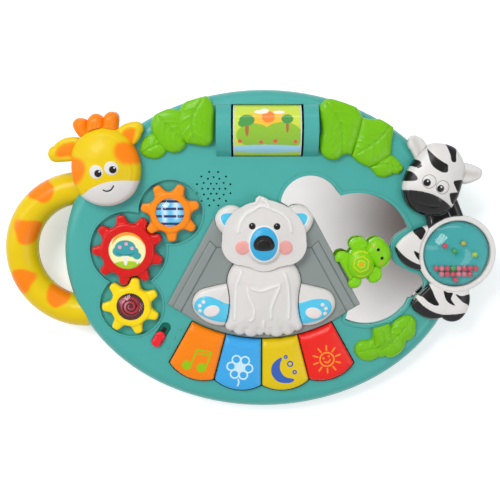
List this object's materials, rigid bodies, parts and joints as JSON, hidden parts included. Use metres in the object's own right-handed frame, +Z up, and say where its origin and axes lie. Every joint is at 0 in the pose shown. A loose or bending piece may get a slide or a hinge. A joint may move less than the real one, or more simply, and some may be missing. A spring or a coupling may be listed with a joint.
{
  "type": "musical activity center",
  "caption": "Oval tabletop play board with a ring carrying handle, spinning gears, picture roller, press keys, belly button, sliding figure, mirror and bead dome on a wedge housing.",
  "frame": {"origin": "centre of the bounding box on the floor, under the feet", "axes": "+X to the right along the board's long side, +Y away from the child up the slope, +Z up"},
  "size_m": [0.4344, 0.2825, 0.0792],
  "materials": {
    "teal_shell": "moulded, satin gloss",
    "steel_screw": "plain zinc",
    "foot_rubber": "matte",
    "cell_can": "satin",
    "contact_steel": "plated",
    "circuit": "solder mask",
    "pad_rubber": "matte",
    "lamp": "clear",
    "speaker_black": "matte",
    "inner_grey": "matte",
    "mirror_film": "polished",
    "rock_grey": "satin gloss",
    "bear_white": "gloss",
    "nose_black": "high gloss",
    "giraffe_yellow": "gloss",
    "giraffe_orange": "gloss",
    "zebra_white": "gloss",
    "muzzle_white": "gloss",
    "zebra_black": "high gloss",
    "clear_dome": "clear",
    "spinner_teal": "gloss",
    "bead_mix": "gloss",
    "leaf_green": "gloss",
    "gear_red_plastic": "gloss",
    "gear_orange_plastic": "gloss",
    "gear_yellow_plastic": "gloss",
    "picture_disc": "gloss print",
    "lens_print": "clear over print",
    "roller_core": "gloss",
    "roller_print": "gloss print",
    "key_orange": "gloss",
    "key_blue": "gloss",
    "key_yellow": "gloss",
    "key_red": "gloss",
    "switch_green": "satin",
    "knob_red": "gloss",
    "turtle_green": "gloss"
  },
  "bodies": {
    "housing": {"front_shell": "teal_shell", "back_shell": "teal_shell", "battery_door": "teal_shell", "battery_door_screw": "steel_screw", "housing_screws": "steel_screw", "inner_screws": "steel_screw", "rubber_feet": "foot_rubber", "batteries": "cell_can", "battery_contacts": "contact_steel", "circuit_board": "circuit", "contact_pads": "pad_rubber", "leds": "lamp", "speaker": "speaker_black", "speaker_clamp": "inner_grey", "mirror": "mirror_film", "rock_panel": "rock_grey", "bear_head": "bear_white", "bear_nose": "nose_black", "bear_legs": "bear_white", "giraffe_head": "giraffe_yellow", "giraffe_mane": "giraffe_orange", "giraffe_muzzle": "muzzle_white", "handle_front": "giraffe_yellow", "handle_back": "giraffe_yellow", "zebra_head": "zebra_white", "zebra_muzzle": "zebra_black", "zebra_neck": "zebra_black", "zebra_limbs": "zebra_white", "zebra_hooves": "zebra_black", "zebra_ring": "zebra_white", "leaves_left": "leaf_green", "leaves_right": "leaf_green", "leaves_lower": "leaf_green", "gear_screws": "steel_screw", "roller_brackets": "inner_grey", "key_hinge_pins": "steel_screw", "switch_plate": "switch_green", "switch_body": "inner_grey"},
    "red_gear": {"gear_red": "gear_red_plastic", "gear_red_disc": "picture_disc"},
    "orange_gear": {"gear_orange": "gear_orange_plastic", "gear_orange_lens": "lens_print"},
    "yellow_gear": {"gear_yellow": "gear_yellow_plastic", "gear_yellow_lens": "lens_print"},
    "roller": {"roller_drum": "roller_core", "roller_sleeve": "roller_print"},
    "orange_key": {"key_1": "key_orange"},
    "blue_key": {"key_2": "key_blue"},
    "yellow_key": {"key_3": "key_yellow"},
    "red_key": {"key_4": "key_red"},
    "belly_button": {"bear_body": "bear_white", "bear_plunger": "inner_grey"},
    "slide_switch": {"switch_knob": "knob_red"},
    "turtle_slider": {"turtle": "turtle_green", "turtle_carriage": "inner_grey"},
    "bead_spinner": {"bead_dome": "clear_dome", "bead_base": "spinner_teal", "beads": "bead_mix", "bead_retainer": "steel_screw"}
  },
  "joints": [
    {"name": "red_gear_spin", "type": "hinge", "parent": "housing", "child": "red_gear", "pos_m": [-0.10415, 0.0021, 0.0477], "axis": [0, -0.1564, 0.9877], "continuous": true},
    {"name": "orange_gear_spin", "type": "hinge", "parent": "housing", "child": "orange_gear", "pos_m": [-0.06644, 0.03482, 0.05289], "axis": [0, -0.1564, 0.9877], "continuous": true},
    {"name": "yellow_gear_spin", "type": "hinge", "parent": "housing", "child": "yellow_gear", "pos_m": [-0.10266, -0.04746, 0.03985], "axis": [0, -0.1564, 0.9877], "continuous": true},
    {"name": "roller_spin", "type": "hinge", "parent": "housing", "child": "roller", "pos_m": [0.01745, 0.10586, 0.05229], "axis": [1, 0, 0], "continuous": true},
    {"name": "orange_key_press", "type": "hinge", "parent": "housing", "child": "orange_key", "pos_m": [-0.03132, -0.0601, 0.03157], "axis": [0.9288, -0.366, -0.058], "range_deg": [0, 3.5], "stiffness_Nm_per_rad": 1, "springref_deg": -1.15},
    {"name": "blue_key_press", "type": "hinge", "parent": "housing", "child": "blue_key", "pos_m": [-0.00199, -0.06759, 0.03039], "axis": [0.992, -0.1246, -0.0197], "range_deg": [0, 3.5], "stiffness_Nm_per_rad": 1, "springref_deg": -1.15},
    {"name": "yellow_key_press", "type": "hinge", "parent": "housing", "child": "yellow_key", "pos_m": [0.02829, -0.06759, 0.03039], "axis": [0.992, 0.1246, 0.0197], "range_deg": [0, 3.5], "stiffness_Nm_per_rad": 1, "springref_deg": -1.15},
    {"name": "red_key_press", "type": "hinge", "parent": "housing", "child": "red_key", "pos_m": [0.05762, -0.0601, 0.03157], "axis": [0.9288, 0.366, 0.058], "range_deg": [0, 3.5], "stiffness_Nm_per_rad": 1, "springref_deg": -1.15},
    {"name": "belly_press", "type": "slide", "parent": "housing", "child": "belly_button", "axis": [0, 0.1564, -0.9877], "range_m": [0, 0.003], "stiffness_N_per_m": 600, "springref_m": -0.0015},
    {"name": "switch_slide", "type": "slide", "parent": "housing", "child": "slide_switch", "axis": [0.524, 0.8412, 0.1332], "range_m": [0, 0.009]},
    {"name": "turtle_slide", "type": "slide", "parent": "housing", "child": "turtle_slider", "axis": [-0.4781, 0.8675, 0.1374], "range_m": [0, 0.026]},
    {"name": "bead_spin", "type": "hinge", "parent": "housing", "child": "bead_spinner", "pos_m": [0.18315, -0.00096, 0.04722], "axis": [0, -0.1564, 0.9877], "continuous": true}
  ],
  "couplings": [
    {"joint": "orange_gear_spin", "follows": "red_gear_spin", "ratio": -1.2857},
    {"joint": "yellow_gear_spin", "follows": "red_gear_spin", "ratio": -1.2857}
  ]
}
